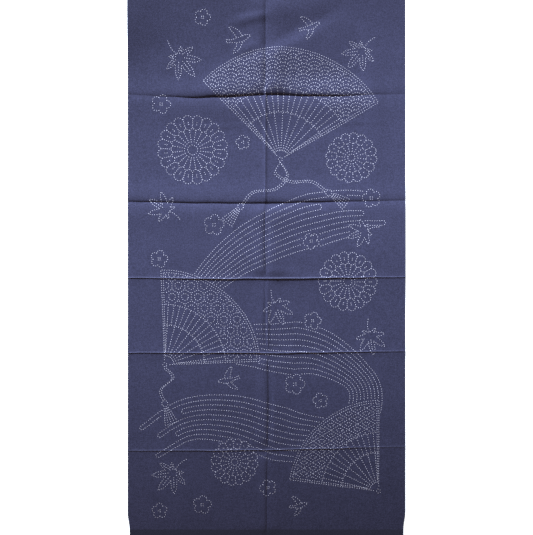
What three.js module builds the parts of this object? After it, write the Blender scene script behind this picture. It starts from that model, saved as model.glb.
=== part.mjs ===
// A sashiko panel: one cut length of plain-woven indigo cotton, opened out flat after being kept folded.
// It lies face up on a level surface. X runs across it, +Y towards its upper selvage and +Z up, in
// millimetres, and the origin is on the surface under the middle of the cloth. Distances called down are
// counted from the upper selvage towards the lower one.
import * as THREE from 'three';

const WIDTH = 560; // cut edge to cut edge
const LENGTH = 1100; // selvage to selvage, the full width of the woven cotton
const THICKNESS = 1.2;
const UPPER_DRAW = 1.5; // the tight selvages pull each side in by this much
const LOWER_DRAW = 4;
const UPPER_REACH = 16; // and the pull has worn off this far from a selvage
const LOWER_REACH = 50;
const LOWER_FULL = 15; // the lower pull is the same up to this far from its selvage
const LARGEST_STEP = 38; // between two lines of the mesh
const SMALLEST_STEP = 2.4;
const INDIGO = 0x464a70;

// The crosswise folds. left, middle and right say how far down a fold lies at the left edge, at the
// lengthwise fold and at the right edge. Each half bows down by sagLeft or sagRight between those places.
// shareLeft and shareRight are the shares of its height that are left at the two edges. A mountain stands up
// as a ridge. A valley touches the surface and the cloth swells on both sides of it. rise and reach are the
// height and the width of its near side, the one towards the upper selvage, and farRise and farReach those
// of the other side.
const CROSSWISE_FOLDS = [
  { turn: 'valley', left: 208, middle: 208.5, right: 205.5, sagLeft: 5.5, sagRight: 4,
    shareLeft: 0.3, shareRight: 0.22, rise: 2.6, reach: 56, farRise: 3.5, farReach: 100 },
  { turn: 'valley', left: 423, middle: 426.5, right: 421.5, sagLeft: 1.2, sagRight: -0.5,
    shareLeft: 0.85, shareRight: 0.55, rise: 2, reach: 72, farRise: 3.1, farReach: 100 },
  { turn: 'mountain', left: 576.5, middle: 578, right: 575, sagLeft: 0.6, sagRight: 0.3,
    shareLeft: 0.65, shareRight: 0.55, rise: 2, reach: 24, farRise: 2, farReach: 24 },
  { turn: 'mountain', left: 728, middle: 727.8, right: 725, sagLeft: -0.6, sagRight: 0.5,
    shareLeft: 0.7, shareRight: 0.55, rise: 1.8, reach: 24, farRise: 1.8, farReach: 24 },
  { turn: 'mountain', left: 925.4, middle: 923.5, right: 916.5, sagLeft: 0.4, sagRight: 0.5,
    shareLeft: 0.75, shareRight: 0.5, rise: 1.4, reach: 26, farRise: 1.4, farReach: 26 },
];

// The lengthwise fold turns the other way in each stretch between two crosswise folds. middle is how far
// down the stretch has its centre, half is half its length, and across says where the fold lies there. Its
// near side is the left one.
const LENGTHWISE_FOLD = [
  { turn: 'valley', middle: 104, half: 104, across: -2, rise: 4, reach: 64, farRise: 4.2, farReach: 80 },
  { turn: 'mountain', middle: 318, half: 120, across: -2, rise: 3, reach: 64, farRise: 3, farReach: 64 },
  { turn: 'valley', middle: 502, half: 76, across: -3, rise: 2.8, reach: 44, farRise: 3.5, farReach: 80 },
  { turn: 'mountain', middle: 654, half: 74, across: 1.5, rise: 1.2, reach: 34, farRise: 1.2, farReach: 34 },
  { turn: 'valley', middle: 827, half: 97, across: 4.4, rise: 2.2, reach: 40, farRise: 1.5, farReach: 76 },
  { turn: 'valley', middle: 1012, half: 87, across: 0.7, rise: 1.6, reach: 34, farRise: 1.2, farReach: 70 },
];

// Soft wrinkles, each a low rounded ridge that runs from one place to another and fades at its ends. half is
// its half width on its left side as it runs, and farHalf the one on its right side.
const WRINKLES = [
  { fromX: -78, fromDown: 63, toX: 18, toDown: 41, rise: 2.4, half: 14, farHalf: 18 },
  { fromX: -20, fromDown: 46, toX: 160, toDown: 12, rise: 2.8, half: 34, farHalf: 46 },
  { fromX: -50, fromDown: 162, toX: 180, toDown: 46, rise: 4.2, half: 30, farHalf: 92 },
  { fromX: -67, fromDown: 124, toX: -8, toDown: 103, rise: 1.6, half: 16, farHalf: 16 },
  { fromX: -170, fromDown: 212, toX: 10, toDown: 152, rise: 2.2, half: 62, farHalf: 40 },
  { fromX: -430, fromDown: 120, toX: -205, toDown: -30, rise: 10, half: 100, farHalf: 130 },
  { fromX: 22, fromDown: 96, toX: 24, toDown: 208, rise: 1.2, half: 22, farHalf: 18 },
  { fromX: 207, fromDown: 60, toX: 223, toDown: 400, rise: 1.8, half: 34, farHalf: 30 },
  { fromX: -330, fromDown: 526, toX: 600, toDown: 518, rise: 2.8, half: 110, farHalf: 150 },
];

const clamp = THREE.MathUtils.clamp;
const lerp = THREE.MathUtils.lerp;
const smoothstep = THREE.MathUtils.smoothstep;

// The height of a fold beside its line, as a share of its rise, where s runs from 0 at the line to 1 at its
// reach. A ridge is sharp at the top and flattens out. A valley's swell is steepest at the line itself.
const SECTIONS = {
  mountain: (s) => 0.4 * (1 - s) ** 3 + 0.6 * Math.max(0, 1 - s / 0.1) ** 2,
  valley: (s) => 8.2 * s * (1 - s) ** 3.6,
};

function foldHeight(fold, away) {
  const s = Math.abs(away) / (away < 0 ? fold.reach : fold.farReach);
  const rise = away < 0 ? fold.rise : fold.farRise;
  return s < 1 ? rise * SECTIONS[fold.turn](s) : 0;
}

// How far the fold's line lies from its level place, x from the middle of the cloth.
function crosswiseShift(fold, x) {
  const t = clamp(Math.abs(x) / (WIDTH / 2), 0, 1);
  const edge = x < 0 ? fold.left : fold.right;
  const sag = x < 0 ? fold.sagLeft : fold.sagRight;
  return lerp(0, edge - fold.middle, t) + sag * Math.sin(Math.PI * t) ** 2;
}

// Rows of the mesh follow the folds above and below them, and run straight along the selvages.
function rowShift(x, down) {
  const knots = [{ at: 0, shift: 0 }];
  for (const fold of CROSSWISE_FOLDS) knots.push({ at: fold.middle, shift: crosswiseShift(fold, x) });
  knots.push({ at: LENGTH, shift: 0 });
  return interpolate(knots, down);
}

// Columns follow the lengthwise fold, less so towards the cut edges.
function columnShift(x, down) {
  const knots = LENGTHWISE_FOLD.map((stretch) => ({ at: stretch.middle, shift: stretch.across }));
  const drawn = UPPER_DRAW * (1 - smoothstep(down, 0, UPPER_REACH))
    + LOWER_DRAW * (1 - smoothstep(LENGTH - down, LOWER_FULL, LOWER_REACH));
  const outwards = x / (WIDTH / 2);
  return interpolate(knots, down) * (1 - Math.abs(outwards)) - drawn * outwards;
}

function interpolate(knots, at) {
  if (at <= knots[0].at) return knots[0].shift;
  for (let i = 1; i < knots.length; i++) {
    const low = knots[i - 1];
    const high = knots[i];
    if (at <= high.at) return lerp(low.shift, high.shift, (at - low.at) / (high.at - low.at));
  }
  return knots[knots.length - 1].shift;
}

function crosswiseHeight(x, down) {
  let height = 0;
  for (const fold of CROSSWISE_FOLDS) {
    const share = x < 0 ? fold.shareLeft : fold.shareRight;
    const strength = lerp(1, share, smoothstep(Math.abs(x), 0.15 * WIDTH, 0.5 * WIDTH));
    height += strength * foldHeight(fold, down - fold.middle);
  }
  return height;
}

// The lengthwise fold dies away as it nears the crosswise folds.
function lengthwiseHeight(x, down) {
  let height = 0;
  for (const stretch of LENGTHWISE_FOLD) {
    const strength = smoothstep(1 - Math.abs(down - stretch.middle) / stretch.half, 0, 0.4);
    height += strength * foldHeight(stretch, x);
  }
  return height;
}

function wrinkleHeight(x, down) {
  let height = 0;
  for (const wrinkle of WRINKLES) {
    const from = new THREE.Vector2(wrinkle.fromX, wrinkle.fromDown);
    const run = new THREE.Vector2(wrinkle.toX, wrinkle.toDown).sub(from);
    const place = new THREE.Vector2(x, down).sub(from);
    const along = clamp(place.dot(run) / run.lengthSq(), 0, 1);
    const half = run.cross(place) > 0 ? wrinkle.farHalf : wrinkle.half;
    const away = place.sub(run.multiplyScalar(along)).length() / half;
    const ends = Math.sin(Math.PI * along);
    height += away < 1 ? wrinkle.rise * ends * Math.cos((Math.PI / 2) * away) ** 2 : 0;
  }
  return height;
}

// Lines of the mesh close together beside a fold and further apart between the folds.
const BESIDE_FOLD = [0, 0.045, 0.1, 0.2, 0.36, 0.6, 1];

function stations(low, high, folds) {
  const wanted = new Set([low, high]);
  for (const fold of folds) {
    for (const share of BESIDE_FOLD) {
      wanted.add(fold.at - share * fold.reach);
      wanted.add(fold.at + share * fold.farReach);
    }
  }
  const sorted = [...wanted].filter((at) => at >= low && at <= high).sort((a, b) => a - b);
  const kept = [low];
  for (const at of sorted) {
    const before = kept[kept.length - 1];
    if (at - before < SMALLEST_STEP) continue;
    const parts = Math.ceil((at - before) / LARGEST_STEP);
    for (let i = 1; i <= parts; i++) kept.push(lerp(before, at, i / parts));
  }
  return kept;
}

// The cloth: an upper and a lower face on the same rows and columns, one thickness apart, and a rim.
function clothGeometry() {
  const columns = stations(-WIDTH / 2, WIDTH / 2, [{ at: 0, reach: 56, farReach: 80 }]);
  const crosswise = CROSSWISE_FOLDS.map(({ middle, reach, farReach }) => ({ at: middle, reach, farReach }));
  const rows = stations(0, LENGTH, crosswise);
  const positions = [];
  for (const lift of [0, THICKNESS]) {
    for (const down of rows) {
      for (const x of columns) {
        const placeX = x + columnShift(x, down);
        const placeDown = down + rowShift(x, down);
        const height = crosswiseHeight(x, down) + lengthwiseHeight(x, down)
          + wrinkleHeight(placeX, placeDown);
        positions.push(placeX, LENGTH / 2 - placeDown, height + lift);
      }
    }
  }

  const across = columns.length;
  const upper = across * rows.length; // the first point of the upper face
  const faces = [];
  const quad = (a, b, c, d) => faces.push(a, b, c, a, c, d);
  for (let row = 0; row + 1 < rows.length; row++) {
    for (let column = 0; column + 1 < across; column++) {
      const a = row * across + column;
      const b = a + across;
      quad(a, a + 1, b + 1, b);
      quad(upper + a, upper + b, upper + b + 1, upper + a + 1);
    }
  }
  const lastRow = upper - across;
  for (let column = 0; column + 1 < across; column++) {
    const a = column;
    const b = lastRow + column;
    quad(a, upper + a, upper + a + 1, a + 1);
    quad(b, b + 1, upper + b + 1, upper + b);
  }
  for (let row = 0; row + 1 < rows.length; row++) {
    const a = row * across;
    const b = a + across - 1;
    quad(a, a + across, upper + a + across, upper + a);
    quad(b, upper + b, upper + b + across, b + across);
  }

  const geometry = new THREE.BufferGeometry();
  geometry.setAttribute('position', new THREE.Float32BufferAttribute(positions, 3));
  geometry.setIndex(faces);
  geometry.computeVertexNormals();
  return geometry;
}

const cotton = new THREE.MeshStandardMaterial({ color: INDIGO, roughness: 0.92, metalness: 0 });
const panel = new THREE.Mesh(clothGeometry(), cotton);
panel.name = 'panel';

const group = new THREE.Group();
group.add(panel);
export default group;
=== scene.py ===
# A sashiko panel of indigo cotton, printed with dashed guide lines for hand stitching. It lies face up on a
# pale floor, opened out after being kept folded. Lengths on the cloth are in millimetres: across is counted
# from the middle towards the right, and down from the upper selvage towards the lower one.
from collections import namedtuple

import bpy
import numpy as np
from mathutils import Matrix, Vector


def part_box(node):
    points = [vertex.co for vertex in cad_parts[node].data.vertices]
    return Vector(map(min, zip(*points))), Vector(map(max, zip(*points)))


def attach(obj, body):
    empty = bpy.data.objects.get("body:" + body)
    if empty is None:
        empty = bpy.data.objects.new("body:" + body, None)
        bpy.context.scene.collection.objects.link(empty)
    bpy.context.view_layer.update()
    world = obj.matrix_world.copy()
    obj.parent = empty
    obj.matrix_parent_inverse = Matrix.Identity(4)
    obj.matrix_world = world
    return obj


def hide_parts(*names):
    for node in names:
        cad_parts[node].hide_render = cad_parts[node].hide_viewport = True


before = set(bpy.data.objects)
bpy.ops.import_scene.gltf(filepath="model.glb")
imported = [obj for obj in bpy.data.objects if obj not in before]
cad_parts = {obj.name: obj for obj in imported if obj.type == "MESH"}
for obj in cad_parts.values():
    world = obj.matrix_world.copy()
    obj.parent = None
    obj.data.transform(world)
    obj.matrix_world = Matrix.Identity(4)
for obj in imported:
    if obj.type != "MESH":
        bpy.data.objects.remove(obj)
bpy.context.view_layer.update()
scene = bpy.context.scene


# The camera looks straight down on the printed face with the upper selvage at the top. Its picture is a
# little shorter than the cloth, so that both selvages are cut off as they are in the photo.
MM = 0.001
LENS = 70
FILM = 36
PICTURE_HEIGHT = 1079.6
PICTURE_MIDDLE = (0, -6)

lens = bpy.data.cameras.new("camera")
lens.lens = LENS
lens.sensor_width = FILM
camera = bpy.data.objects.new("camera", lens)
camera.location = (PICTURE_MIDDLE[0] * MM, PICTURE_MIDDLE[1] * MM, PICTURE_HEIGHT * MM * LENS / FILM)
scene.collection.objects.link(camera)
scene.camera = camera


# The cloth is one cut length of plain-woven cotton. Its upper and lower ends are the woven selvages, which
# draw the sides in a little, and its sides are cut. It was folded across, then once lengthwise, and it lies
# on the floor between creases that stand up as ridges or swell on both sides of a line that touches down.
corner, far_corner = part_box("panel")
WIDTH = (far_corner.x - corner.x) / MM
LENGTH = (far_corner.y - corner.y) / MM
THICKNESS = 0.6
UPPER_DRAW = 1.5
UPPER_REACH = 16
LOWER_DRAW = 4
LOWER_REACH = 50
LOWER_FULL = 15
SELVAGE = 15.5
FINE_CELL = 1.0
COARSE_CELL = 4.9
FOLD_FINENESS = 11

# A fold across has its place at the left edge, in the middle and at the right edge, its sag in between, and
# the share of its height that is left at each edge. Every fold has a rise and a reach on its near side and
# on its far side, and the height of the steep wall on the near side.
Fold = namedtuple(
    "Fold",
    "turn left middle right sag_left sag_right share_left share_right rise reach far_rise far_reach pinch",
)
CROSSWISE_FOLDS = (
    Fold("valley", 208, 208.5, 205.5, 5.5, 4, 0.3, 0.22, 2.6, 56, 3.5, 100, 1.5),
    Fold("valley", 423, 426.5, 421.5, 1.2, -0.5, 0.85, 0.55, 2, 72, 3.1, 100, 1.2),
    Fold("mountain", 576.5, 578, 575, 0.6, 0.3, 0.65, 0.55, 2, 24, 2, 24, 0),
    Fold("mountain", 728, 727.8, 725, -0.6, 0.5, 0.7, 0.55, 1.8, 24, 1.8, 24, 0),
    Fold("mountain", 925.4, 923.5, 916.5, 0.4, 0.5, 0.75, 0.5, 1.4, 26, 1.4, 26, 0),
)
# The lengthwise fold is made of stretches, each with the middle of its run down the cloth and half its run.
Stretch = namedtuple("Stretch", "turn middle half across rise reach far_rise far_reach pinch")
LENGTHWISE_FOLD = (
    Stretch("valley", 104, 104, -2, 4, 64, 4.2, 80, 0.2),
    Stretch("mountain", 318, 120, -2, 3, 64, 3, 64, 0),
    Stretch("valley", 502, 76, -3, 2.8, 44, 3.5, 80, 0.4),
    Stretch("mountain", 654, 74, 1.5, 1.2, 34, 1.2, 34, 0),
    Stretch("valley", 827, 97, 4.4, 2.2, 40, 1.5, 76, 0.9),
    Stretch("valley", 1012, 87, 0.7, 1.6, 34, 1.2, 70, 1),
)
# A wrinkle rises along a straight run, with a half width above or to the left of it and one on its far side.
Wrinkle = namedtuple("Wrinkle", "from_across from_down to_across to_down rise half far_half")
WRINKLES = (
    Wrinkle(-78, 63, 18, 41, 2.4, 14, 18),
    Wrinkle(-20, 46, 160, 12, 2.8, 34, 46),
    Wrinkle(-50, 162, 180, 46, 4.2, 30, 92),
    Wrinkle(-67, 124, -8, 103, 1.6, 16, 16),
    Wrinkle(-170, 212, 10, 152, 2.2, 62, 40),
    Wrinkle(-430, 120, -205, -30, 10, 100, 130),
    Wrinkle(22, 96, 24, 208, 1.2, 22, 18),
    Wrinkle(207, 60, 223, 400, 1.8, 34, 30),
    Wrinkle(-330, 526, 600, 518, 2.8, 110, 150),
)
# Faint creases and a low mound, which the solid leaves out.
FAINT_CREASES = (
    Wrinkle(-185, 272, -1, 272, 0.5, 5, 5),
    Wrinkle(127, 263, 261, 263, 0.5, 5, 5),
    Wrinkle(-42, 154, -6, 148, -0.5, 5, 5),
    Wrinkle(-10, 568, 76, 568, 1, 16, 30),
)
# Narrow ridges and furrows along the lengthwise fold, where the first fold crosses it and where it was
# pressed twice.
FURROWS = (
    Wrinkle(-2, 192, -2, 225, 2.6, 3.6, 3.2),
    Wrinkle(3, 430, 3, 570, -1.2, 4, 4),
    Wrinkle(-6.5, 574, -6.5, 730, 1.6, 3.8, 30),
    Wrinkle(2.6, 574, 3.4, 730, 1.3, 5, 3.4),
    Wrinkle(9, 736, 9, 918, -1.2, 6, 8),
)
# A ridge's crest and a valley's swell are shaped in shares of their rise and reach, and a valley's steep wall
# in millimetres. A fold weakens towards the edges, and towards the place where another fold crosses it.
CREST_SHARE = 0.6
CREST_REACH = 0.1
VALLEY_RISE = 8.2
VALLEY_FALL = 3.6
PINCH_REACH = 1.9
PINCH_FADE = 30
FULL_STRENGTH = 0.15
STRETCH_FADE = 0.26
CREST_BAND = 1.4
PUCKER = 0.5
PUCKER_SIZE = 17
PUCKER_REACH = 22
PUCKER_SEED = 21
SWELL = 0.7
SWELL_SIZE = 74
SWELL_SEED = 22
WANDER = 0.8
WANDER_SIZE = 36
LATTICE = 256
PROBES = 500
SHARP_EDGE = 50


def uneven(across, down, size, seed):
    """Smooth random values from 0 to 1 that change over about this many millimetres."""
    lattice = np.random.default_rng(seed).random((LATTICE, LATTICE))
    u = across / size + LATTICE / 4
    v = down / size + LATTICE / 4
    i = np.floor(u).astype(int)
    j = np.floor(v).astype(int)
    u = (u - i) ** 2 * (3 - 2 * (u - i))
    v = (v - j) ** 2 * (3 - 2 * (v - j))
    above = lattice[i, j] * (1 - u) + lattice[i + 1, j] * u
    below = lattice[i, j + 1] * (1 - u) + lattice[i + 1, j + 1] * u
    return above * (1 - v) + below * v


def eased(value, low, high):
    """0 below low and 1 above high, with a soft change."""
    t = np.clip((value - low) / (high - low), 0, 1)
    return t * t * (3 - 2 * t)


def fold_height(fold, away):
    """A ridge with a sharp crest, or the swell on each side of a valley's line."""
    rise = np.where(away < 0, fold.rise, fold.far_rise)
    s = np.minimum(np.abs(away) / np.where(away < 0, fold.reach, fold.far_reach), 1)
    if fold.turn == "mountain":
        crest = CREST_SHARE * np.maximum(0, 1 - s / CREST_REACH) ** 2
        return rise * ((1 - CREST_SHARE) * (1 - s) ** 3 + crest)
    return rise * VALLEY_RISE * s * (1 - s) ** VALLEY_FALL


def pinch_height(fold, away):
    """A valley's steep wall, besides its swell, on the side above or to the left of its line."""
    wall = 1 - np.exp(-np.abs(away) / PINCH_REACH)
    return np.where(away < 0, fold.pinch, 0) * wall * np.exp(-np.abs(away) / PINCH_FADE)


def fold_strength(fold, across):
    """The share of a fold's height at a place across, full near the middle and less towards the edges."""
    share = np.where(across < 0, fold.share_left, fold.share_right)
    return 1 + (share - 1) * eased(np.abs(across), FULL_STRENGTH * WIDTH, WIDTH / 2)


def row_shift(across, down):
    """How far the folds above and below pull a row of the weave down the cloth."""
    t = np.clip(np.abs(across) / (WIDTH / 2), 0, 1)
    shifts = [0 * across]
    for number, fold in enumerate(CROSSWISE_FOLDS):
        edge = np.where(across < 0, fold.left, fold.right) - fold.middle
        sag = np.where(across < 0, fold.sag_left, fold.sag_right)
        wander = WANDER * (2 * uneven(across, 0 * across, WANDER_SIZE, number) - 1)
        shifts.append(t * edge + sag * np.sin(np.pi * t) ** 2 + wander)
    shifts.append(0 * across)
    knots = [0, *(fold.middle for fold in CROSSWISE_FOLDS), LENGTH]
    shift = 0 * across
    for low, high, above, below in zip(knots, knots[1:], shifts, shifts[1:]):
        share = np.clip((down - low) / (high - low), 0, 1)
        within = (down >= low) & (down <= high)
        shift = np.where(within, above + (below - above) * share, shift)
    return shift


def column_shift(across, down):
    """How far the lengthwise fold and the tight selvages move a column of the weave sideways."""
    outwards = across / (WIDTH / 2)
    fold = np.interp(down, [s.middle for s in LENGTHWISE_FOLD], [s.across for s in LENGTHWISE_FOLD])
    drawn = UPPER_DRAW * (1 - eased(down, 0, UPPER_REACH))
    drawn = drawn + LOWER_DRAW * (1 - eased(LENGTH - down, LOWER_FULL, LOWER_REACH))
    return fold * (1 - np.abs(outwards)) - drawn * outwards


def wrinkle_height(wrinkle, across, down):
    run = np.array((wrinkle.to_across - wrinkle.from_across, wrinkle.to_down - wrinkle.from_down), float)
    x = across - wrinkle.from_across
    y = down - wrinkle.from_down
    along = np.clip((x * run[0] + y * run[1]) / (run @ run), 0, 1)
    half = np.where(y * run[0] > x * run[1], wrinkle.far_half, wrinkle.half)
    away = np.minimum(np.hypot(x - along * run[0], y - along * run[1]) / half, 1)
    return wrinkle.rise * np.sin(np.pi * along) * np.cos(np.pi / 2 * away) ** 2


def crest_wear_and_highlight(across, down):
    """1 on the crest of a ridge, falling to 0 a few millimetres beside it: dye thinned by rubbing and a
    painted highlight.
    """
    crest_lightening = 0 * across
    for fold in CROSSWISE_FOLDS:
        if fold.turn == "mountain":
            crest_band = np.exp(-((down - fold.middle) / CREST_BAND) ** 2)
            crest_lightening = np.maximum(crest_lightening, fold_strength(fold, across) ** 2 * crest_band)
    return crest_lightening


def on_cloth(across, down, lift=0):
    """Where a place on the weave lies in the room, in metres, with lift above the cloth's underside."""
    x = across + column_shift(across, down)
    y = down + row_shift(across, down)
    height = 0 * across
    for fold in CROSSWISE_FOLDS:
        strength = fold_strength(fold, across)
        away = down - fold.middle
        height = height + strength * fold_height(fold, away) + strength**2 * pinch_height(fold, away)
    for stretch in LENGTHWISE_FOLD:
        strength = eased(1 - np.abs(down - stretch.middle) / stretch.half, 0, STRETCH_FADE)
        height = height + strength * (fold_height(stretch, across) + pinch_height(stretch, across))
    for wrinkle in WRINKLES + FAINT_CREASES + FURROWS:
        height = height + wrinkle_height(wrinkle, x, y)
    beside = sum(np.exp(-((down - fold.middle) / PUCKER_REACH) ** 2) for fold in CROSSWISE_FOLDS)
    height = height + PUCKER * beside * uneven(across, down / 2, PUCKER_SIZE, PUCKER_SEED)
    height = height + SWELL * uneven(across, down, SWELL_SIZE, SWELL_SEED) ** 2
    height = np.maximum(height, 0) + lift
    return np.stack([x * MM, (LENGTH / 2 - y) * MM, height * MM], axis=-1)


def stations(knots, folds):
    """Places for the lines of the mesh, one on each knot and close together beside the folds."""
    places = [knots[0]]
    for low, high in zip(knots, knots[1:]):
        t = np.linspace(low, high, PROBES)
        away = np.min([np.abs(t - fold) for fold in folds], axis=0)
        cells = 1 / (COARSE_CELL - (COARSE_CELL - FINE_CELL) * np.exp(-((away / FOLD_FINENESS) ** 2)))
        count = np.concatenate([[0], np.cumsum((cells[1:] + cells[:-1]) / 2 * np.diff(t))])
        parts = max(1, round(count[-1]))
        places.extend(np.interp(np.arange(1, parts + 1) / parts * count[-1], count, t))
    return np.array(places)


def shell_faces(rows, columns):
    """Faces of a closed sheet whose points are an under layer of rows by columns, then an upper one."""
    index = np.arange(rows * columns).reshape(rows, columns)
    a, b, c, d = index[:-1, :-1], index[:-1, 1:], index[1:, 1:], index[1:, :-1]
    under = np.stack([a, b, c, d], axis=-1).reshape(-1, 4)
    upper = under[:, ::-1] + rows * columns
    rim = np.concatenate([index[0, ::-1], index[1:, 0], index[-1, 1:], index[-2:0:-1, -1]])
    after = np.roll(rim, -1)
    sides = np.stack([rim, rim + rows * columns, after + rows * columns, after], axis=-1)
    return np.vstack([under, upper, sides[:, ::-1]])


def mesh_piece(name, points, faces, material):
    """An object in the scene with this mesh, smooth but for its sharp edges."""
    mesh = bpy.data.meshes.new(name)
    mesh.from_pydata(points.reshape(-1, 3).tolist(), [], faces)
    mesh.shade_smooth()
    mesh.set_sharp_from_angle(angle=np.radians(SHARP_EDGE))
    mesh.materials.append(material)
    piece = bpy.data.objects.new(name, mesh)
    scene.collection.objects.link(piece)
    return piece


class Value:
    """An output of a shader node. Arithmetic on it adds Math nodes to its material."""

    def __init__(self, finish, output):
        self.finish = finish
        self.output = output

    def math(self, operation, *values):
        return self.finish.add("ShaderNodeMath", {"operation": operation}, dict(enumerate(values)))

    def __add__(self, other):
        return self.math("ADD", self, other)

    def __sub__(self, other):
        return self.math("SUBTRACT", self, other)

    def __rsub__(self, other):
        return self.math("SUBTRACT", other, self)

    def __mul__(self, other):
        return self.math("MULTIPLY", self, other)

    def __abs__(self):
        return self.math("ABSOLUTE", self)

    __radd__ = __add__
    __rmul__ = __mul__

    def sine(self):
        return self.math("SINE", self)

    def between(self, low, high):
        """0 below low and 1 above high, with a soft change."""
        settings = {"interpolation_type": "SMOOTHSTEP"}
        values = {"Value": self, "From Min": low, "From Max": high}
        return self.finish.add("ShaderNodeMapRange", settings, values)


class Finish:
    """A material with one principled surface, and the one way in which nodes are added to it."""

    def __init__(self, name):
        self.material = bpy.data.materials.new(name)
        self.material.use_nodes = True
        self.tree = self.material.node_tree
        self.surface = self.tree.nodes["Principled BSDF"]

    def add(self, kind, settings=None, values=None, take=0):
        """A node with its settings and the values or links of its sockets. It gives one of its outputs."""
        node = self.tree.nodes.new(kind)
        for name, setting in (settings or {}).items():
            setattr(node, name, setting)
        self.fill(node, values or {})
        return Value(self, node.outputs[take])

    def fill(self, node, values):
        for socket, value in values.items():
            if isinstance(value, Value):
                self.tree.links.new(value.output, node.inputs[socket])
            else:
                node.inputs[socket].default_value = value

    def mix(self, share, first, second):
        """A mix of two colours. The node's colour sockets are its seventh and eighth."""
        return self.add("ShaderNodeMix", {"data_type": "RGBA"}, {0: share, 6: first, 7: second}, 2)

    def noise(self, place, size, detail=2, stretch=(1, 1, 1)):
        """Random values over lengths of about size millimetres, longer along an axis that is stretched."""
        scale = [1 / (size * MM * s) for s in stretch]
        spread = self.add("ShaderNodeVectorMath", {"operation": "MULTIPLY"}, {0: place, 1: scale})
        return self.add("ShaderNodeTexNoise", {}, {"Vector": spread, "Scale": 1.0, "Detail": detail})


INDIGO = (0.0355, 0.0364, 0.0775, 1)
INDIGO_DEEP = (0.0116, 0.0119, 0.0266, 1)
INDIGO_PALE = (0.067, 0.0705, 0.112, 1)
SELVAGE_INDIGO = (0.014, 0.015, 0.026, 1)
SELVAGE_EDGE = 3
SELVAGE_COVER = 0.75
RAGGED = 3
RAGGED_SIZE = 5
PAINTED_LIGHT = 0.1
MOTTLE = 0.2
MOTTLE_SIZE = 34
GRAIN = 1.1
GRAIN_SIZE = 2.6
SHADE_LOW = -0.1
SHADE_HIGH = 1.1
CREST_LIGHTENING = 0.9
THREAD = 0.5
THREAD_DEPTH = 0.25
SWAY = 1.6
SWAY_SIZE = 9
SLUBS = 0.35
SLUB_SIZE = 1.1
SLUB_LENGTH = 14


def weave(finish, place):
    """Height of the plain weave, its thick and thin threads, and the two directions across the cloth."""
    across = finish.add("ShaderNodeSeparateXYZ", {}, {0: place})
    down = Value(finish, across.output.node.outputs[1])
    turn = np.pi / (THREAD * MM)
    sway = finish.noise(place, SWAY_SIZE, 1) * SWAY
    warp = (across * turn + sway).sine()
    weft = (down * turn + sway).sine()
    over = warp * weft
    thick = finish.noise(place, SLUB_SIZE, stretch=(1, SLUB_LENGTH, 1))
    thick = thick + finish.noise(place, SLUB_SIZE, stretch=(SLUB_LENGTH, 1, 1))
    return abs(over) * 0.5 + thick * 0.5, thick, across, down


cotton = Finish("indigo_cotton")
place = cotton.add("ShaderNodeTexCoord", {}, {}, "Object")
height, thick, crosswise, lengthwise = weave(cotton, place)
mottle = cotton.noise(place, MOTTLE_SIZE, 3)
grain = cotton.noise(place, GRAIN_SIZE)
worn_and_lit = cotton.add("ShaderNodeAttribute", {"attribute_name": "worn_and_lit"}, {}, "Fac")
ragged = cotton.noise(place, RAGGED_SIZE) * (RAGGED * MM)
inner = LENGTH / 2 - SELVAGE
selvage = (abs(lengthwise) + ragged).between(inner * MM, (inner + SELVAGE_EDGE) * MM)
# Painted light and shade: the cloth is made lighter towards the upper right and lower left corners and darker
# towards the other two, where the window's light falls more and less.
painted_light = crosswise * lengthwise * (4 * PAINTED_LIGHT / (WIDTH * LENGTH * MM**2))
shade = (mottle - 0.5) * MOTTLE + (grain - 0.5) * GRAIN + (thick - 1) * SLUBS + painted_light + 0.5
colour = cotton.mix(shade.between(SHADE_LOW, SHADE_HIGH), INDIGO_DEEP, INDIGO)
# Painted highlight: the crests of the ridges are made paler, partly for dye thinned by rubbing and partly for
# the light that catches them.
colour = cotton.mix(worn_and_lit * grain * CREST_LIGHTENING, colour, INDIGO_PALE)
colour = cotton.mix(selvage * SELVAGE_COVER, colour, SELVAGE_INDIGO)
threads = {"Strength": 0.5, "Distance": THREAD_DEPTH * MM, "Height": height}
bump = cotton.add("ShaderNodeBump", {}, threads, "Normal")
cotton.fill(cotton.surface, {"Base Color": colour, "Roughness": 0.86 + grain * 0.1, "Normal": bump})
cotton.fill(cotton.surface, {"Specular IOR Level": 0.12, "Sheen Weight": 0.03, "Sheen Roughness": 0.5})

folds_down = [fold.middle for fold in CROSSWISE_FOLDS]
rows = stations([0, *folds_down, LENGTH], folds_down)
columns = stations([-WIDTH / 2, 0, WIDTH / 2], [0])
down, across = np.meshgrid(rows, columns, indexing="ij")
points = np.stack([on_cloth(across, down), on_cloth(across, down, THICKNESS)])
cloth = mesh_piece("cloth", points, shell_faces(len(rows), len(columns)).tolist(), cotton.material)
# The crests' paler band, partly dye thinned by rubbing and partly a painted highlight, is kept on the mesh's
# points.
worn_and_lit_places = np.tile(crest_wear_and_highlight(across, down).ravel(), 2)
cloth.data.attributes.new("worn_and_lit", "FLOAT", "POINT").data.foreach_set("value", worn_and_lit_places)
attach(cloth, "root")
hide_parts("panel")


# The printed stitching guides are dashes of white ink, pressed onto the cloth face before it is cut. Folding
# fans come first: a guard on each side, pleats up to a band, a patterned leaf above it, and a rivet.
DASH = 1.9
PITCH = 4.8
LINE = 0.82
FILM_ABOVE = 0.1
FILM_BELOW = 0.05
CLEAR = 3.4
INK = (0.47, 0.47, 0.57, 1)
INK_LEAST = 0.5
INK_FROM = 0.35
INK_FULL = 0.75

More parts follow.
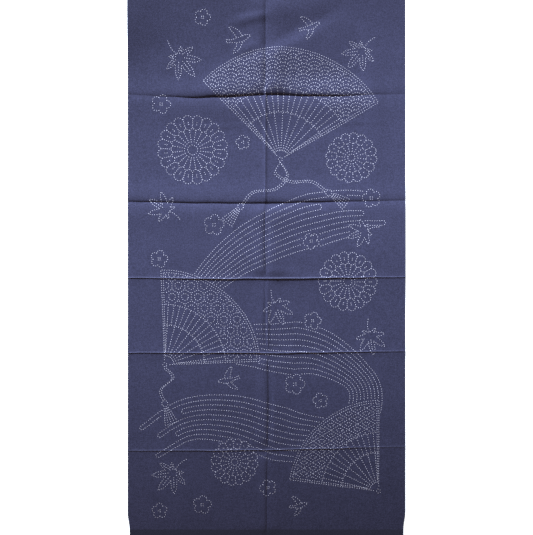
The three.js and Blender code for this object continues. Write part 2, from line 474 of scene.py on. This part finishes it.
# The parts of a fan, in shares of its radius, in millimetres or in degrees.
RIVET = 4
GUARD = 5
GUARD_FROM = 8
GUARD_TURN = 1.4
GUARD_SPREAD = 6
GUARD_FOOT = 0.3
PLEATS_FROM = 16
PLEATS = 0.42
BAND = 0.64
BAND_TURN = 2.4
LEAF_CLEAR = 2.5
LEAF_MIDDLE = 0.82
WAVE_ARCS = ((1, 29.4), (0.7, 35.5), (0.4, 36))
DIAMOND_HIGH = 0.6
DIAMOND_HEART = 0.42
ARC_STEP = 6

FanPlan = namedtuple("FanPlan", "across down radius start end folds fill size")
FANS = (
    FanPlan(30, 338, 226, 30, 134, 20, "waves", 21),
    FanPlan(-206, 752, 190, 2, 92, 16, "hexagons", 15),
    FanPlan(226, 1010, 182, 90, 172, 14, "diamonds", 36),
)
covers = []


def polar(centre, radius, angle):
    """Places at a distance and an angle from a centre, in degrees from the right towards the top."""
    angle = np.radians(angle)
    return np.stack([centre[0] + radius * np.cos(angle), centre[1] - radius * np.sin(angle)], axis=-1)


def arc(centre, radius, start, end):
    count = max(4, int(abs(end - start) / ARC_STEP) + 1)
    return polar(centre, radius, np.linspace(start, end, count))


def inside(outline, clear):
    """A test for places within an outline, grown by a clearance."""
    a = np.asarray(outline, float)
    ahead = np.roll(a, -1, axis=0) - np.roll(a, 1, axis=0)
    normal = np.stack([ahead[:, 1], -ahead[:, 0]], axis=-1) / (np.hypot(*ahead.T)[:, None] + 1e-9)
    winding = np.sum(a[:, 0] * np.roll(a[:, 1], -1) - np.roll(a[:, 0], -1) * a[:, 1])
    a = a + clear * np.sign(winding) * normal
    b = np.roll(a, -1, axis=0)
    rise = np.where(a[:, 1] == b[:, 1], 1, b[:, 1] - a[:, 1])

    def covered(x, y):
        x, y = x[:, None], y[:, None]
        spans = (a[:, 1] > y) != (b[:, 1] > y)
        left_of = x < a[:, 0] + (y - a[:, 1]) * (b[:, 0] - a[:, 0]) / rise
        return (spans & left_of).sum(axis=1) % 2 == 1

    return covered


def dashes(line):
    """The two ends of each dash along a line, as rows of four numbers."""
    line = np.asarray(line, float)
    along = np.concatenate([[0], np.cumsum(np.hypot(*np.diff(line, axis=0).T))])
    count = max(1, round(along[-1] / PITCH))
    middles = (np.arange(count) + 0.5) * along[-1] / count
    ends = [middles - (DASH - LINE) / 2, middles + (DASH - LINE) / 2]
    return np.stack([np.interp(end, along, line[:, axis]) for end in ends for axis in (0, 1)], axis=-1)


def lay(lines, outline=None, within=None, clear=CLEAR):
    """The dashes of a motif that none laid before it covers. Its own outline then covers later ones."""
    laid = np.vstack([dashes(line) for line in lines])
    x = (laid[:, 0] + laid[:, 2]) / 2
    y = (laid[:, 1] + laid[:, 3]) / 2
    shown = np.ones(len(laid), bool)
    for covered in covers:
        shown &= ~covered(x, y)
    if within:
        shown &= within(x, y)
    if outline is not None:
        covers.append(inside(outline, clear))
    return laid[shown]


def staggered(centre, reach, wide, high):
    """Middles of motifs in rows, with every second row moved half a motif to the right."""
    up_to = int(reach / high) + 2
    out_to = int(reach / wide) + 3
    steps = [(i, j) for j in range(1 - up_to, up_to) for i in range(1 - out_to, out_to)]
    return [np.add(centre, ((i + 0.5 * (j % 2)) * wide, j * high)) for i, j in steps]


def waves(centre, reach, radius):
    """Rows of three arcs, each row half hidden by the next."""
    middles = staggered(centre, reach, 2 * radius, radius / 2)
    return [arc(at, share * radius, low, 180 - low) for at in middles for share, low in WAVE_ARCS]


def hexagons(centre, reach, side):
    """Hexagons side by side, with a small one in each."""
    middles = staggered(centre, reach, side * np.sqrt(3), side * 1.5)
    large = [polar(at, side, np.arange(90, -91, -60)) for at in middles]
    return large + [polar(at, side / 2, np.arange(90, -271, -60)) for at in middles]


def diamonds(centre, reach, wide):
    """Diamonds point to point, with a small one in each."""
    high = DIAMOND_HIGH * wide
    outline = np.array([(0, -high / 2), (wide / 2, 0), (0, high / 2), (-wide / 2, 0), (0, -high / 2)])
    middles = staggered(centre, reach, wide, high / 2)
    return [at + outline[:3] for at in middles] + [at + DIAMOND_HEART * outline for at in middles]


def fan(plan):
    """A fan with a rivet, a guard on each side, pleats from near the rivet to the band, and a filled leaf."""
    pivot = np.array((plan.across, plan.down), float)
    radius, start, end = plan.radius, plan.start, plan.end
    ring = PLEATS * radius
    band = BAND * radius
    edge = radius - GUARD
    lines = [arc(pivot, radius, start, end), arc(pivot, edge, start + GUARD_TURN, end - GUARD_TURN)]
    lines += [arc(pivot, ring, start, end), arc(pivot, band, start + BAND_TURN, end - BAND_TURN)]
    lines.append(arc(pivot, RIVET, 0, 360))
    for turn, way in ((start, 1), (end, -1)):
        foot = polar(pivot, ring * GUARD_FOOT, turn + way * GUARD_SPREAD)
        lines.append([polar(pivot, GUARD_FROM, turn), polar(pivot, radius, turn)])
        lines.append([foot, polar(pivot, edge, turn + way * GUARD_TURN)])
    pleats = [start + (end - start) * k / plan.folds for k in range(1, plan.folds)]
    lines += [[polar(pivot, PLEATS_FROM, turn), polar(pivot, ring, turn)] for turn in pleats[::2]]
    lines += [[polar(pivot, ring, turn), polar(pivot, band, turn)] for turn in pleats]

    def on_leaf(x, y):
        """Whether a place is on the leaf, clear of the band, the edge and the guards."""
        away = np.hypot(x - pivot[0], y - pivot[1])
        turn = np.degrees(np.arctan2(pivot[1] - y, x - pivot[0])) % 360
        side = np.degrees(GUARD * 1.5 / away)
        between = (turn - start - side) % 360 < end - start - 2 * side
        return (away > band + LEAF_CLEAR) & (away < edge - LEAF_CLEAR) & between

    fill = {"waves": waves, "hexagons": hexagons, "diamonds": diamonds}[plan.fill]
    filled = fill(polar(pivot, LEAF_MIDDLE * radius, (start + end) / 2), radius, plan.size)
    laid = [lay(lines), lay(filled, within=on_leaf)]
    covers.append(inside(np.vstack([pivot, arc(pivot, radius, start, end)]), CLEAR))
    return np.vstack(laid)


def on_face(across, down, lift):
    """A place on the upper face of the cloth's mesh, with lift above it."""
    face = points[1]
    i = np.clip(np.searchsorted(rows, down) - 1, 0, len(rows) - 2)
    j = np.clip(np.searchsorted(columns, across) - 1, 0, len(columns) - 2)
    u = ((down - rows[i]) / (rows[i + 1] - rows[i]))[..., None]
    v = ((across - columns[j]) / (columns[j + 1] - columns[j]))[..., None]
    above = face[i, j] * (1 - v) + face[i, j + 1] * v
    below = face[i + 1, j] * (1 - v) + face[i + 1, j + 1] * v
    return above * (1 - u) + below * u + np.array((0, 0, lift * MM))


def film(name, laid):
    """One joined mesh of thin pointed dashes of ink that follow the cloth."""
    laid = np.vstack(laid)
    first, last = laid[:, :2], laid[:, 2:]
    ahead = (last - first) / (np.hypot(*(last - first).T)[:, None] + 1e-9) * LINE / 2
    side = ahead[:, ::-1] * (1, -1)
    outline = [first - ahead, first + side, last + side, last + ahead, last - side, first - side]
    flat = np.stack(outline, axis=1)
    places = [on_face(flat[..., 0], flat[..., 1], lift) for lift in (-FILM_BELOW, FILM_ABOVE)]
    around = len(outline)
    first_point = 2 * around * np.arange(len(laid))[:, None]
    low = first_point + np.arange(around)
    beside = first_point + (np.arange(around) + 1) % around
    sides = np.stack([low, low + around, beside + around, beside], axis=-1).reshape(-1, 4)
    faces = low[:, ::-1].tolist() + (low + around).tolist() + sides.tolist()
    piece = mesh_piece(name, np.concatenate(places, axis=1), faces, ink.material)
    piece.parent = cloth
    return piece


ink = Finish("guide_print")
place = ink.add("ShaderNodeTexCoord", {}, {}, "Object")
cover = weave(ink, place)[0].between(INK_FROM, INK_FULL)
inked = ink.mix(cover * (1 - INK_LEAST) + INK_LEAST, INDIGO_PALE, INK)
ink.fill(ink.surface, {"Base Color": inked, "Roughness": 0.9})
film("fan_print", [fan(plan) for plan in FANS])


# Cords hang from the rivets of the two larger fans, printed in the same ink. Each is two lines that end in a
# ring and a tassel of five strands.
CORDS = (
    ((30, 344), (44, 372), (20, 398), (-24, 404), (-46, 428)),
    ((30, 344), (20, 366), (52, 384), (92, 384), (122, 404)),
    ((-206, 758), (-190, 778), (-214, 802), (-208, 824)),
)
CORD_HALF = 2.2
RING = 6
TASSEL_START = 14
TASSEL_END = 46
STRANDS = (-15, -7.5, 0, 7.5, 15)
STRAND_TURN = 1.1
HEM = 3
HEM_TURN = 17
TASSEL_TURN = 18


def smooth(points, steps=12):
    """A rounded line through a few places."""
    p = np.asarray(points, float)
    p = np.vstack([2 * p[0] - p[1], p, 2 * p[-1] - p[-2]])
    t = np.linspace(0, 1, steps, endpoint=False)[:, None]
    runs = []
    for a, b, c, d in zip(p, p[1:], p[2:], p[3:]):
        bend = (2 * a - 5 * b + 4 * c - d) * t**2 + (3 * b - a - 3 * c + d) * t**3
        runs.append(b + 0.5 * ((c - a) * t + bend))
    return np.vstack(runs + [p[-2][None]])


def cord(places):
    line = smooth(places)
    end = line[-1]
    ahead = end - line[-2]
    angle = -np.degrees(np.arctan2(ahead[1], ahead[0]))
    side = polar((0, 0), CORD_HALF, angle + 90)
    lines = [line + side, line - side, arc(polar(end, RING, angle), RING, 0, 360)]
    for strand in STRANDS:
        start = polar(end, TASSEL_START, angle + strand * STRAND_TURN)
        lines.append([start, polar(end, TASSEL_END, angle + strand)])
    rim = polar(end, TASSEL_END, angle + np.linspace(-TASSEL_TURN, TASSEL_TURN, 5))
    lines.append(polar(end, TASSEL_END + HEM, angle + np.linspace(-HEM_TURN, HEM_TURN, 5)))
    return lay(lines, np.vstack([end, rim]))


film("cord_print", [cord(places) for places in CORDS])


# Chrysanthemums are printed in the same ink. They have two rings of round petals about a small heart, and
# the outer petals have a short vein.
Flower = namedtuple("Flower", "across down radius petals turn")
CHRYSANTHEMUMS = (
    Flower(-148, 316, 72, 20, 0),
    Flower(172, 336, 52, 16, 5),
    Flower(164, 586, 60, 18, 8),
    Flower(-66, 948, 48, 16, 4),
)
HEART = 0.14
PETAL_RINGS = ((0.2, 0.62, 0), (0.62, 1, 0.5))
PETAL_VEIN = (0.08, 0.2)


def chrysanthemum(flower):
    centre = (flower.across, flower.down)
    radius = flower.radius
    half = 180 / flower.petals
    cap = np.sin(np.radians(half))
    lines = [arc(centre, HEART * radius, 0, 360)]
    rim = []
    for low, high, shift in PETAL_RINGS:
        shoulder = radius * high / (1 + cap)
        for k in range(flower.petals):
            middle = flower.turn + 360 * (k + shift) / flower.petals
            tip = polar(centre, shoulder * np.cos(np.radians(half)), middle)
            lines.append(arc(tip, shoulder * cap, middle - 90, middle + 90))
            lines.append([polar(centre, radius * low, middle + half), polar(centre, shoulder, middle + half)])
            if high == 1:
                rim.append(lines[-2])
                lines.append([polar(centre, radius * (low + at), middle) for at in PETAL_VEIN])
    return lay(lines, np.vstack(rim))


film("flower_print", [chrysanthemum(flower) for flower in CHRYSANTHEMUMS])


# Maple leaves are printed in the same ink. They have seven pointed lobes and a bent stalk. The larger ones
# have a vein in each lobe, and the smaller ones only in the middle one.
Leaf = namedtuple("Leaf", "across down size turn")
MAPLE_LEAVES = (
    Leaf(-176, 128, 50, -50),
    Leaf(194, 118, 46, -130),
    Leaf(-200, 442, 42, 150),
    Leaf(18, 632, 42, -70),
    Leaf(200, 486, 38, 200),
    Leaf(208, 694, 42, -80),
    Leaf(-188, 968, 48, 230),
)
LOBES = ((-128, 0.42), (-84, 0.7), (-42, 0.92), (0, 1), (42, 0.92), (84, 0.7), (128, 0.42))
LOBE_SIDE = ((0.5, -16), (0.78, -8.5), (1, 0), (0.78, 8.5), (0.5, 16))
STALK = ((-0.12, 0), (-0.42, 0.04), (-0.8, -0.06))
LOBES_FROM = 0.12
NOTCH = 0.34
NOTCH_TURN = 21
VEIN = (0.2, 0.74)
VEINED = 45


def turned(line, angle, place, size):
    """A line in shares of a size, made that large, turned and set at a place."""
    c = np.cos(np.radians(angle))
    s = np.sin(np.radians(angle))
    return size * np.asarray(line, float) @ np.array([[c, -s], [s, c]]) + place


def maple(leaf):
    outline = [polar((0, 0), LOBES_FROM, -180)]
    veins = []
    for number, (angle, reach) in enumerate(LOBES):
        outline += [polar((0, 0), away * reach, angle + swing) for away, swing in LOBE_SIDE]
        if number + 1 < len(LOBES):
            outline.append(polar((0, 0), NOTCH * min(1, reach + 0.3), angle + NOTCH_TURN))
        veins.append([polar((0, 0), at * reach, angle) for at in VEIN])
    outline.append(outline[0])
    middle = len(LOBES) // 2
    shown = veins if leaf.size > VEINED else [veins[middle]]
    lines = [turned(line, leaf.turn, leaf[:2], leaf.size) for line in [outline, smooth(STALK), *shown]]
    return lay(lines, lines[0])


film("leaf_print", [maple(leaf) for leaf in MAPLE_LEAVES])


# Small birds in flight are printed in the same ink. Each has a round body with a short beak, a tail and two
# raised wings.
Bird = namedtuple("Bird", "across down size turn mirror")
BIRDS = (
    Bird(-60, 96, 30, 14, 1),
    Bird(84, 72, 26, 20, 1),
    Bird(-74, 782, 26, 190, -1),
    Bird(60, 1038, 22, 12, 1),
)
BACK = ((1.04, -0.01), (0.88, -0.13), (0.7, -0.17), (0.4, -0.14), (0, -0.12), (-0.3, -0.1), (-0.62, -0.2))
BELLY = ((-0.66, 0.02), (-0.3, 0.07), (0.1, 0.2), (0.5, 0.2), (0.8, 0.08), (1.04, -0.01))
NEAR_WING = (
    (0.48, -0.14), (0.36, -0.5), (0.1, -0.8), (-0.22, -0.98), (-0.16, -0.7), (0, -0.4), (0.06, -0.13),
)
FAR_WING = ((0.4, 0.2), (0.24, 0.5), (-0.02, 0.7), (-0.36, 0.82), (-0.24, 0.56), (-0.06, 0.4), (0, 0.17))
TAIL = ((-0.3, -0.02), (-0.62, -0.09))
BIRD_STEPS = 6
BIRD_CLEAR = 1


def bird(plan):
    body = np.vstack([smooth(BACK, BIRD_STEPS), smooth(BELLY, BIRD_STEPS)])
    parts = [body, smooth(NEAR_WING, BIRD_STEPS), smooth(FAR_WING, BIRD_STEPS), np.array(TAIL)]
    body, near, far, tail = (
        turned(part * (1, plan.mirror), plan.turn, plan[:2], plan.size) for part in parts
    )
    groups = (([body], body), ([near, tail], near), ([far], far))
    return np.vstack([lay(lines, outline, clear=BIRD_CLEAR) for lines, outline in groups])


film("bird_print", [bird(plan) for plan in BIRDS])


# Plum blossoms with five round petals and a small heart, printed in the same ink, fill the gaps between the
# larger motifs.
Blossom = namedtuple("Blossom", "across down size turn")
PLUM_BLOSSOMS = (
    Blossom(-212, 224, 19, 0),
    Blossom(-46, 302, 14, 30),
    Blossom(-128, 50, 16, 0),
    Blossom(212, 420, 18, 30),
    Blossom(-104, 470, 20, 10),
    Blossom(92, 504, 16, 50),
    Blossom(-216, 540, 17, 5),
    Blossom(54, 792, 20, 0),
    Blossom(106, 826, 15, 30),
    Blossom(-130, 1034, 18, 10),
    Blossom(2, 1000, 16, 40),
    Blossom(92, 664, 17, 0),
    Blossom(-216, 1046, 15, 20),
)
PETALS = 5
PETAL_PLACE = 0.6
PETAL_RADIUS = 0.43
PETAL_TURN = 108
BLOSSOM_HEART = 0.17


def blossom(plan):
    centre = plan[:2]
    petals = []
    for k in range(PETALS):
        way = plan.turn + 360 / PETALS * k
        middle = polar(centre, PETAL_PLACE * plan.size, way)
        petals.append(arc(middle, PETAL_RADIUS * plan.size, way - PETAL_TURN, way + PETAL_TURN))
    return lay([*petals, arc(centre, BLOSSOM_HEART * plan.size, 0, 360)], np.vstack(petals))


film("blossom_print", [blossom(plan) for plan in PLUM_BLOSSOMS])


# Flowing water is printed in the same ink. It winds down the panel behind everything else, as pairs of lines
# with round ends.
COURSE = (
    (236, 452), (150, 452), (40, 480), (-70, 540), (-140, 620), (-110, 700), (0, 716),
    (110, 730), (196, 800), (170, 890), (60, 900), (-70, 862), (-160, 862), (-236, 906),
)
COURSE_STEPS = 30
SPACING = (9, 12, 10, 6, 8, 12, 7, 8, 12, 10, 8)
INWARDS = 3
PAIR_ENDS = ((0.05, 1), (0, 0.96), (0.03, 0.985), (0.09, 0.94), (0.02, 1))


def round_end(one, two, back):
    """A half circle from the end of one line to the end of the other, on the side away from back."""
    middle = (one + two) / 2
    radius = np.hypot(*(one - middle))
    way = np.degrees(np.arctan2(middle[1] - one[1], one[0] - middle[0]))
    caps = [arc(middle, radius, way, way + turn) for turn in (180, -180)]
    return max(caps, key=lambda cap: np.hypot(*(cap[len(cap) // 2] - back)))


def water():
    course = smooth(COURSE, COURSE_STEPS)
    along = np.concatenate([[0], np.cumsum(np.hypot(*np.diff(course, axis=0).T))])
    share = along / along[-1]
    ahead = np.gradient(course, axis=0)
    side = np.stack([-ahead[:, 1], ahead[:, 0]], axis=-1) / np.hypot(*ahead.T)[:, None]
    gap = np.interp(share, np.linspace(0, 1, len(SPACING)), SPACING)[:, None]
    lines = []
    for pair, (low, high) in enumerate(PAIR_ENDS):
        shown = (share >= low) & (share <= high)
        place = 2 * pair - len(PAIR_ENDS) + 0.5
        one = (course + side * place * gap)[shown]
        two = (course + side * (place + 1) * gap)[shown]
        ahead_end = round_end(one[-1], two[-1], one[-1 - INWARDS])
        near_end = round_end(two[0], one[0], one[INWARDS])
        lines.append(np.vstack([one, ahead_end, two[::-1], near_end]))
    return lay(lines)


film("water_print", [water()])


# The floor is plain and pale, glows softly and reaches far past the picture. A cool, low light from beyond
# the upper selvage brings out the creases, and a warm, soft one comes from all round. Lengths in the room
# are in metres.
FLOOR = 8
FLOOR_DROP = 0.0002
FLOOR_COLOUR = (0.94, 0.94, 0.94, 1)
FLOOR_GLOW = (0.46, 0.55, 0.63, 1)

floor_finish = Finish("pale_floor")
floor_finish.fill(floor_finish.surface, {"Base Color": FLOOR_COLOUR, "Roughness": 0.7})
floor_finish.fill(floor_finish.surface, {"Emission Color": FLOOR_GLOW, "Emission Strength": 1})
floor_finish.material.cycles.emission_sampling = "NONE"
sides = ((-1, -1), (1, -1), (1, 1), (-1, 1))
floor_points = np.array([(x * FLOOR / 2, y * FLOOR / 2, -FLOOR_DROP) for x, y in sides])
floor = mesh_piece("floor", floor_points, [(0, 1, 2, 3)], floor_finish.material)

WINDOW_PLACE = (-0.68, 2.16, 0.82)
WINDOW_AIM = (0, 0.13, 0)
WINDOW_SIZE = (3.2, 0.34)
WINDOW_SPREAD = 14.7
WINDOW_POWER = 31
WINDOW_COLOUR = (0.76, 0.86, 0.99)
ROOM_COLOUR = (1, 0.79, 0.62, 1)
ROOM_STRENGTH = 0.47

light = bpy.data.lights.new("window", "AREA")
light.shape = "RECTANGLE"
light.size, light.size_y = WINDOW_SIZE
light.spread = np.radians(WINDOW_SPREAD)
light.energy = WINDOW_POWER
light.color = WINDOW_COLOUR
window = bpy.data.objects.new("window", light)
window.location = WINDOW_PLACE
beam = (Vector(WINDOW_AIM) - Vector(WINDOW_PLACE)).normalized()
broad = (Vector((1, 0, 0)) - beam.x * beam).normalized()
window.rotation_euler = Matrix((broad, broad.cross(beam), -beam)).transposed().to_euler()
scene.collection.objects.link(window)

world = bpy.data.worlds.new("room")
world.use_nodes = True
world.node_tree.nodes["Background"].inputs["Color"].default_value = ROOM_COLOUR
world.node_tree.nodes["Background"].inputs["Strength"].default_value = ROOM_STRENGTH
scene.world = world
scene.view_settings.view_transform = "Standard"
# A denoiser would join the printed dashes, which are about a pixel long, into plain lines.
scene.cycles.use_denoising = False
